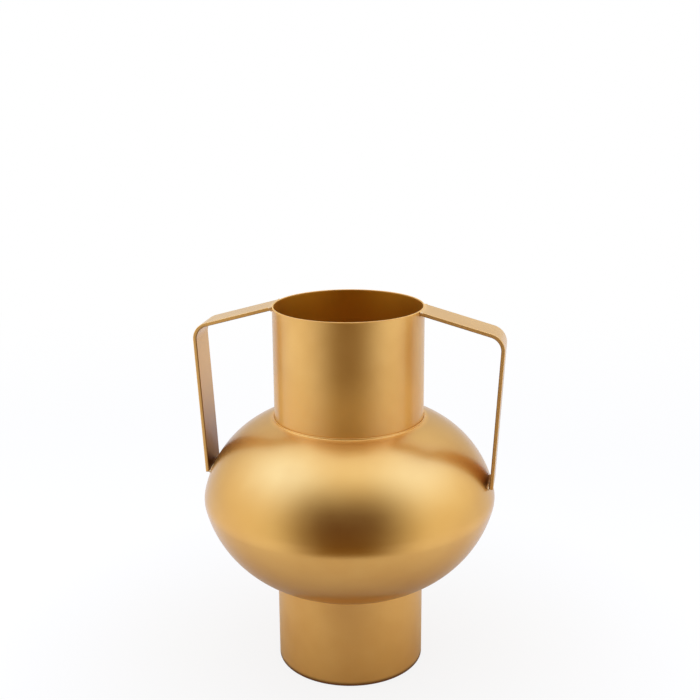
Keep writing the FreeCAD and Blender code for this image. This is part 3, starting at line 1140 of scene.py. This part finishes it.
# The neck, foot and strap golds take lacquers painted lighter than the shells', as painted light
def neck_gold(finish):
    """Gold of the neck tube, with faint lines up and down."""
    return gold("gold_neck_tube", finish, Look(
        finish.neck_lacquer, finish.tube_grazing, finish.worn_edge, finish.neck_roughness,
        TUBE_GRAIN,
    ))


def foot_gold(finish):
    """Gold of the foot tube and the disc in it, with faint lines up and down."""
    return gold("gold_foot_tube", finish, Look(
        finish.foot_lacquer, finish.tube_grazing, finish.worn_edge, finish.foot_roughness,
        TUBE_GRAIN,
    ))


def strap_gold(finish):
    """Gold of the flat straps, drawn along their length."""
    return gold("gold_flat_strap", finish, Look(
        finish.strap_lacquer, finish.strap_grazing, finish.cut_edge, finish.strap_roughness,
        STRAP_GRAIN, wear=0.8,
    ))


def weld_gold(finish):
    """Gold over welds and braze, coarser than the sheet."""
    return gold("gold_weld", finish, Look(
        finish.weld_lacquer, finish.worn_edge, finish.worn_edge, finish.weld_roughness,
        WELD_GRAIN,
    ))


def felt_material(finish):
    """Pressed felt: matted fibres, in colour, in height and in sheen."""
    material = bpy.data.materials.new("felt_pad")
    material.use_nodes = True
    tree = material.node_tree
    fibres = noise(tree, FIBRES, 6.0, (1.0, FIBRE_LENGTH, 1.0))
    crossing = noise(tree, FIBRES, 6.0, (FIBRE_LENGTH, 1.0, 1.0))
    matted = math_node(tree, "MAXIMUM", fibres, crossing)
    pale = tuple(min(1.0, FIBRE_PALENESS * part) for part in finish.felt)
    tone = mixed(
        tree, ranged(tree, matted, *FIBRE_RANGE), opaque(finish.felt), opaque(pale)
    )
    bump = add_node(tree, "ShaderNodeBump", {
        "Strength": 0.8, "Distance": finish.fibre_depth, "Height": matted,
    })
    set_inputs(tree, tree.nodes["Principled BSDF"], {
        "Base Color": tone, "Roughness": 0.95, "Sheen Weight": 0.6, "Sheen Roughness": 0.5,
        "Normal": bump.outputs["Normal"],
    })
    return material


def dress(node, material):
    """Gives a CAD node its material."""
    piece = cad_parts.get(node)
    if piece is None:
        raise RuntimeError(f"the packed model has no node named {node}")
    for slot in piece.material_slots:
        slot.material = material


def stand_for(piece, nodes, material):
    """Puts a new piece in the place of CAD nodes, on the vase's one body."""
    piece.data.materials.append(material)
    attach(piece, ROOT)
    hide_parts(*nodes)


def joined_pieces(name, pieces):
    """Like pieces as one mesh."""
    first = pieces[0]
    work = bmesh.new()
    for piece in pieces:
        work.from_mesh(piece.data)
    work.to_mesh(first.data)
    work.free()
    for piece in pieces[1:]:
        bpy.data.objects.remove(piece)
    first.name = first.data.name = name
    return first


# Operators for the vase's pieces

# How strongly the neck's foot is painted lighter, a painted reflection, and the share of the neck's
# wall, from within, that takes the inside's painted shade
NECK_FOOT_PAINTED_LIGHT = 0.8
INSIDE_SHARE = 0.4


class URN_OT_neck_tube(bpy.types.Operator):
    """Make the neck tube, with its softened rim"""

    bl_idname = "urn.neck_tube"
    bl_label = "Neck Tube"
    bl_options = {"REGISTER", "UNDO"}

    def execute(self, context):
        sizes, finish = context.scene.urn_sizes, context.scene.urn_finish
        outer, inner = sizes.neck_radius, sizes.neck_radius - sizes.wall
        outline = rounded_tube(
            inner, outer, sizes.neck_lower_end, sizes.rim_level, sizes.rim_round
        )
        # The rim is rubbed; the neck's foot is painted lighter, a painted reflection
        worn = (
            Band(sizes.rim_level, finish.rim_wear_reach),
            Band(NECK_COLLAR_END, finish.neck_wear_reach, NECK_FOOT_PAINTED_LIGHT),
        )
        # Points inside take the neck's painted inside shade
        inside_radius = inner + INSIDE_SHARE * sizes.wall
        piece = turned("neck_tube_sheet", outline, worn, (), inside_radius)
        stand_for(piece, ["neck_tube"], neck_gold(finish))
        return {"FINISHED"}


class URN_OT_belly_shells(bpy.types.Operator):
    """Make the two spun half shells of the belly, and finish the seam's weld inside"""

    bl_idname = "urn.belly_shells"
    bl_label = "Belly Shells"
    bl_options = {"REGISTER", "UNDO"}

    def execute(self, context):
        sizes, finish = context.scene.urn_sizes, context.scene.urn_finish
        # The collar's bend is rubbed and painted lighter, a painted highlight
        worn = (Band(NECK_COLLAR_END - sizes.collar_bend, finish.collar_wear_reach),)
        upper = turned("upper_shell_sheet", make_dome(sizes).outline(), worn)
        stand_for(upper, ["upper_shell"], shell_gold(finish))
        lower = turned("lower_shell_sheet", make_bowl(sizes).outline())
        stand_for(lower, ["lower_shell"], shell_gold(finish))
        dress("seam_weld_bead", weld_gold(finish))
        dress("neck_braze_ring", weld_gold(finish))
        return {"FINISHED"}


class URN_OT_foot(bpy.types.Operator):
    """Make the foot tube, cut to the bowl, and finish the base disc and the braze in it"""

    bl_idname = "urn.foot"
    bl_label = "Foot"
    bl_options = {"REGISTER", "UNDO"}

    def execute(self, context):
        sizes, finish = context.scene.urn_sizes, context.scene.urn_finish
        # Painted shade at the lower edge: a painted reflection of the contact shadow on the floor
        painted_shade = (Band(sizes.foot_level, finish.foot_pool_reach),)
        piece = turned("foot_tube_sheet", foot_outline(sizes), (), painted_shade)
        stand_for(piece, ["foot_tube"], foot_gold(finish))
        dress("base_disc", foot_gold(finish))
        dress("foot_braze_ring", weld_gold(finish))
        dress("base_braze_ring", weld_gold(finish))
        return {"FINISHED"}


class URN_OT_felt(bpy.types.Operator):
    """Make the felt glued under the base disc"""

    bl_idname = "urn.felt"
    bl_label = "Felt"
    bl_options = {"REGISTER", "UNDO"}

    def execute(self, context):
        soft = context.scene.urn_sizes.felt_round
        outline = felt_outline(FELT_RADIUS, FELT_UNDERSIDE, FELT_TOP, soft)
        piece = surface("felt_pad", turned_points(outline), {}, closed_rows=False)
        stand_for(piece, ["felt_disc"], felt_material(context.scene.urn_finish))
        return {"FINISHED"}


class URN_OT_straps(bpy.types.Operator):
    """Make the two strap handles"""

    bl_idname = "urn.straps"
    bl_label = "Strap Handles"
    bl_options = {"REGISTER", "UNDO"}

    def execute(self, context):
        scene = context.scene
        sizes, strap, finish = scene.urn_sizes, scene.urn_straps, scene.urn_finish
        route = StrapRoute(sizes, strap, make_dome(sizes))
        for kind in STRAPS:
            piece = strap_surface(f"{kind.side}_strap", route, strap, finish, kind)
            stand_for(piece, [f"{kind.side}_handle"], strap_gold(finish))
        return {"FINISHED"}


class URN_OT_strap_welds(bpy.types.Operator):
    """Make the weld beads that hold the straps to the neck and to the belly"""

    bl_idname = "urn.strap_welds"
    bl_label = "Strap Welds"
    bl_options = {"REGISTER", "UNDO"}

    def execute(self, context):
        sizes, strap = context.scene.urn_sizes, context.scene.urn_straps
        dome = make_dome(sizes)
        route = StrapRoute(sizes, strap, dome)
        top, stops, end = [], [], []
        for turn in (kind.turn for kind in STRAPS):
            points = top_weld_points(sizes, strap, route, turn)
            top.append(surface("top_weld", points, {}, closed_rows=False))
            for side in (1, -1):
                points = weld_stop_points(sizes, strap, route, side, turn)
                # The weld stops carry a painted highlight
                stops.append(surface("weld_stop", points, {WEAR_AND_HIGHLIGHT: STOP_PAINTED_HIGHLIGHT}, closed_rows=False))
            points = end_weld_points(strap, route, dome, turn)
            # The end welds carry painted shade
            end.append(surface("end_weld", points, {PAINTED_SHADE: END_BEAD_SHADE}, closed_rows=False))
        gold_material = weld_gold(context.scene.urn_finish)
        top_beads = joined_pieces("strap_top_beads", top + stops)
        stand_for(top_beads, ["handle_top_welds"], gold_material)
        end_beads = joined_pieces("strap_end_beads", end)
        stand_for(end_beads, ["handle_end_welds"], gold_material)
        return {"FINISHED"}


# The studio

WHITE = (1.0, 1.0, 1.0, 1.0)

# The camera's picture is this many millimetres wide, and it sees between these distances
SENSOR_WIDTH = 36.0
NEAREST_SEEN = 0.01
FARTHEST_SEEN = 100.0

# Half the floor's width, and its level just under the felt
FLOOR_HALF = 30.0
FLOOR_LEVEL = -0.0002

# Distances over which the floor changes: from a painted shade under the vase to pale, from its
# front to a painted shade at the back, and to white as the camera and as the metal see it
FLOOR_PAINTED_SHADE_REACH = (0.04, 0.27)
FLOOR_BACK_SHADE_REACH = (0.05, 0.5)
FLOOR_SEEN_REACH = (0.25, 1.2)
FLOOR_MIRRORED_REACH = (0.10, 0.60)
FLOOR_SEEN_WHITE = (0.86, 1.0)
FLOOR_MIRRORED_WHITE = (0.0, 0.3)

# The shade's angles in degrees, as the belly sees them: its grid, where it fades out, its
# middle beside the camera, and where it narrows towards the floor, to a share of its width
SHADE_ASIDE = (-76, 76)
SHADE_RISE = (-60, 84)
SHADE_GRID = (73, 77)
SHADE_SIDE_FADE = (17, 67)
SHADE_TOP_FADE = (32, 80)
SHADE_LOW_FADE = (-55, -29)
SHADE_MIDDLE = -1.5
SHADE_NARROWING = (-18, 14)
SHADE_LOW_WIDTH_SHARE = 0.77

# How far below and before the belly the shade runs, and the levels between which it darkens
SHADE_DROP = 0.117
SHADE_FAR = 0.62
SHADE_LEVELS = (0.0, 0.35)

# The tent dims between these shares of the way round to its back, as a direction's Y
TENT_BACK_SHARES = (0.3, 0.95)


def make_camera(studio):
    """The camera at the photograph's angle: turned, tilted and rolled in that order."""
    turn, tilt, roll = studio.camera_azimuth, studio.camera_tilt, studio.camera_roll
    right = Vector((math.cos(turn), math.sin(turn), 0))
    level = Vector((-math.sin(turn), math.cos(turn), 0))
    place = (
        right * studio.camera_aside - level * studio.camera_distance
        + Vector((0, 0, studio.camera_level))
    )
    ahead = level * math.cos(tilt) - Vector((0, 0, math.sin(tilt)))
    up = right.cross(ahead)
    rolled_right = right * math.cos(roll) + up * math.sin(roll)
    rolled_up = up * math.cos(roll) - right * math.sin(roll)
    data = bpy.data.cameras.new("camera")
    data.lens, data.sensor_width = studio.lens, SENSOR_WIDTH
    data.clip_start, data.clip_end = NEAREST_SEEN, FARTHEST_SEEN
    camera = link_object("camera", data)
    axes = Matrix((rolled_right, rolled_up, -ahead)).transposed()
    camera.matrix_world = Matrix.Translation(place) @ axes.to_4x4()
    bpy.context.scene.camera = camera


def make_floor(studio):
    """A wide pale floor. The camera and the metal see it white; it keeps the vase's shadow."""
    x, y = np.meshgrid((-FLOOR_HALF, FLOOR_HALF), (-FLOOR_HALF, FLOOR_HALF))
    floor = open_sheet("floor", placed(x, y, np.full_like(x, FLOOR_LEVEL)))
    floor.data.materials.append(floor_material(studio))


def floor_material(studio):
    """Matt and pale, with painted shade under and behind the vase, white to the camera, and clear
    from below.
    """
    material = bpy.data.materials.new("pale_floor")
    tree = bare_tree(material)
    away = vector_math(tree, "LENGTH", {0: here(tree)})["Value"]
    outward = ranged(tree, away, *FLOOR_PAINTED_SHADE_REACH, kind="LINEAR")
    tone = mixed(tree, outward, opaque(studio.floor_near), opaque(studio.floor))
    parts = add_node(tree, "ShaderNodeSeparateXYZ", {"Vector": here(tree)})
    # Painted shade on the floor behind the vase
    behind = ranged(tree, parts.outputs["Y"], *FLOOR_BACK_SHADE_REACH, 1.0, studio.tent_back)
    matt = add_node(tree, "ShaderNodeBsdfDiffuse", {"Color": scaled(tree, tone, behind)})
    path = add_node(tree, "ShaderNodeLightPath").outputs
    mirrored = math_node(tree, "MAXIMUM", path["Is Glossy Ray"], path["Is Transmission Ray"])
    seen_white = ranged(tree, away, *FLOOR_SEEN_REACH, *FLOOR_SEEN_WHITE)
    mirrored_white = ranged(tree, away, *FLOOR_MIRRORED_REACH, *FLOOR_MIRRORED_WHITE)
    amount = plus(
        tree, times(tree, path["Is Camera Ray"], seen_white), times(tree, mirrored, mirrored_white)
    )
    top = mixed_shaders(tree, amount, matt.outputs["BSDF"], emission(tree, WHITE))
    from_below = add_node(tree, "ShaderNodeNewGeometry").outputs["Backfacing"]
    both = mixed_shaders(tree, from_below, top, clear(tree))
    add_node(tree, "ShaderNodeOutputMaterial", {"Surface": both})
    return material


def smooth_step(angles, low, high):
    """Share s of the way between two angles in degrees, as s squared times (3 - 2 s)."""
    s = np.clip((np.degrees(angles) - low) / (high - low), 0, 1)
    return s * s * (3 - 2 * s)


def make_shade(studio):
    """The dark opening on the camera's side of the tent, which the lacquer mirrors.

    It runs from the floor in front of the vase up over the camera. From the belly's front
    it is seen at a falling and rising angle e, at the distance r that joins the floor's,
    drop / sin(-e), and the tent's, far, by 1/r^4 = 1/floor^4 + 1/tent^4. Its cover is full
    in the middle and fades to all sides by smooth steps of the angles.
    """
    across = np.radians(np.linspace(*SHADE_ASIDE, SHADE_GRID[1]))[None, :]
    rise = np.radians(np.linspace(*SHADE_RISE, SHADE_GRID[0]))[:, None]
    floor_share = np.maximum(np.sin(-rise), 0) / SHADE_DROP
    reach = (floor_share**4 + (1 / SHADE_FAR) ** 4) ** -0.25
    out = BELLY_RADIUS + reach * np.cos(rise)
    around = across + studio.camera_azimuth
    z = np.broadcast_to(SEAM_LEVEL + reach * np.sin(rise), SHADE_GRID)
    points = placed(out * np.sin(around), -out * np.cos(around), z)
    low_share = SHADE_LOW_WIDTH_SHARE
    width = low_share + (1 - low_share) * smooth_step(rise, *SHADE_NARROWING)
    aside = np.abs(across - math.radians(SHADE_MIDDLE)) / width
    cover = (
        (1 - smooth_step(aside, *SHADE_SIDE_FADE)) * (1 - smooth_step(rise, *SHADE_TOP_FADE))
        * smooth_step(rise, *SHADE_LOW_FADE)
    )
    shade = open_sheet("camera_side_shade", points)
    set_values(shade.data, COVER, cover)
    shade.data.materials.append(shade_material(studio))
    shade.visible_camera = shade.visible_diffuse = shade.visible_shadow = False


def shade_material(studio):
    """A plain dark glow, which changes with the level and shows as far as the sheet covers."""
    material = bpy.data.materials.new("tent_shade")
    tree = bare_tree(material)
    parts = add_node(tree, "ShaderNodeSeparateXYZ", {"Vector": here(tree)})
    height = ranged(tree, parts.outputs["Z"], *SHADE_LEVELS)
    tone = mixed(tree, height, opaque(studio.shade_foot), opaque(studio.shade_top))
    covered = mixed_shaders(tree, attribute(tree, COVER), clear(tree), emission(tree, tone))
    add_node(tree, "ShaderNodeOutputMaterial", {"Surface": covered})
    return material


def glow(tree, way, aside, height, spread, tint):
    """A soft round glow on the tent: colour times exp(k (d . w - 1)).

    d is the way looked along and w the glow's middle. k is 2 over the spread squared.
    """
    middle = (
        math.sin(aside) * math.cos(height), -math.cos(aside) * math.cos(height), math.sin(height)
    )
    dot = vector_math(tree, "DOT_PRODUCT", {0: way, 1: middle})["Value"]
    power = times(tree, math_node(tree, "SUBTRACT", dot, 1.0), 2 / spread**2)
    return scaled(tree, tint, math_node(tree, "POWER", math.e, power))


def make_tent(studio):
    """The white tent round the vase, a little dimmer behind it, with a softbox on each side.

    The camera sees it white.
    """
    world = bpy.data.worlds.new("tent")
    bpy.context.scene.world = world
    tree = bare_tree(world)
    way = add_node(tree, "ShaderNodeVectorRotate", {
        "Vector": add_node(tree, "ShaderNodeTexCoord").outputs["Generated"],
        "Angle": -studio.camera_azimuth,
    }, rotation_type="Z_AXIS").outputs["Vector"]
    parts = add_node(tree, "ShaderNodeSeparateXYZ", {"Vector": way})
    dimmed = ranged(tree, parts.outputs["Y"], *TENT_BACK_SHARES, 1.0, studio.tent_back)
    total = scaled(tree, studio.tent, dimmed)
    for aside, middle_share in (
        (-studio.softbox_aside, 1.0), (studio.softbox_aside, studio.right_share),
    ):
        for spread, tint, amount in (
            (studio.broad_spread, studio.broad_glow, 1.0),
            (studio.narrow_spread, studio.narrow_glow, middle_share),
        ):
            scaled_tint = [amount * part for part in tint]
            light = glow(tree, way, aside, studio.softbox_height, spread, scaled_tint)
            total = vector_math(tree, "ADD", {0: total, 1: light})["Vector"]
    lit, white = (
        add_node(tree, "ShaderNodeBackground", {"Color": tint, "Strength": 1.0}).outputs[0]
        for tint in (total, WHITE)
    )
    seen = add_node(tree, "ShaderNodeLightPath").outputs["Is Camera Ray"]
    add_node(tree, "ShaderNodeOutputWorld", {"Surface": mixed_shaders(tree, seen, lit, white)})


class URN_OT_studio(bpy.types.Operator):
    """Set the camera, the pale floor, the tent and the softboxes"""

    bl_idname = "urn.studio"
    bl_label = "Studio"
    bl_options = {"REGISTER", "UNDO"}

    def execute(self, context):
        studio = context.scene.urn_studio
        make_camera(studio)
        make_floor(studio)
        make_shade(studio)
        make_tent(studio)
        context.scene.view_settings.view_transform = "Standard"
        return {"FINISHED"}


OPERATORS = (
    URN_OT_neck_tube,
    URN_OT_belly_shells,
    URN_OT_foot,
    URN_OT_felt,
    URN_OT_straps,
    URN_OT_strap_welds,
    URN_OT_studio,
)

SETTINGS = {
    "urn_sizes": VaseSizes,
    "urn_straps": StrapSizes,
    "urn_finish": VaseFinish,
    "urn_studio": StudioSettings,
}


class URN_PT_panel(bpy.types.Panel):
    """Lists the vase's pieces, and the sizes and colours that can be changed"""

    bl_idname = "URN_PT_panel"
    bl_label = "Urn Vase"
    bl_space_type = "VIEW_3D"
    bl_region_type = "UI"
    bl_category = "Urn Vase"

    def draw(self, context):
        layout = self.layout
        for operator in OPERATORS:
            layout.operator(operator.bl_idname)
        for name, kind in SETTINGS.items():
            settings = getattr(context.scene, name)
            box = layout.box()
            box.label(text=kind.__doc__)
            for setting in kind.__annotations__:
                box.prop(settings, setting)


def register():
    for kind in (*SETTINGS.values(), *OPERATORS, URN_PT_panel):
        bpy.utils.register_class(kind)
    for name, kind in SETTINGS.items():
        setattr(bpy.types.Scene, name, PointerProperty(type=kind))


def unregister():
    for name in SETTINGS:
        delattr(bpy.types.Scene, name)
    for kind in (URN_PT_panel, *reversed(OPERATORS), *reversed(SETTINGS.values())):
        bpy.utils.unregister_class(kind)


def main():
    register()
    bpy.ops.urn.neck_tube()
    bpy.ops.urn.belly_shells()
    bpy.ops.urn.foot()
    bpy.ops.urn.felt()
    bpy.ops.urn.straps()
    bpy.ops.urn.strap_welds()
    bpy.ops.urn.studio()


if __name__ == "__main__":
    main()
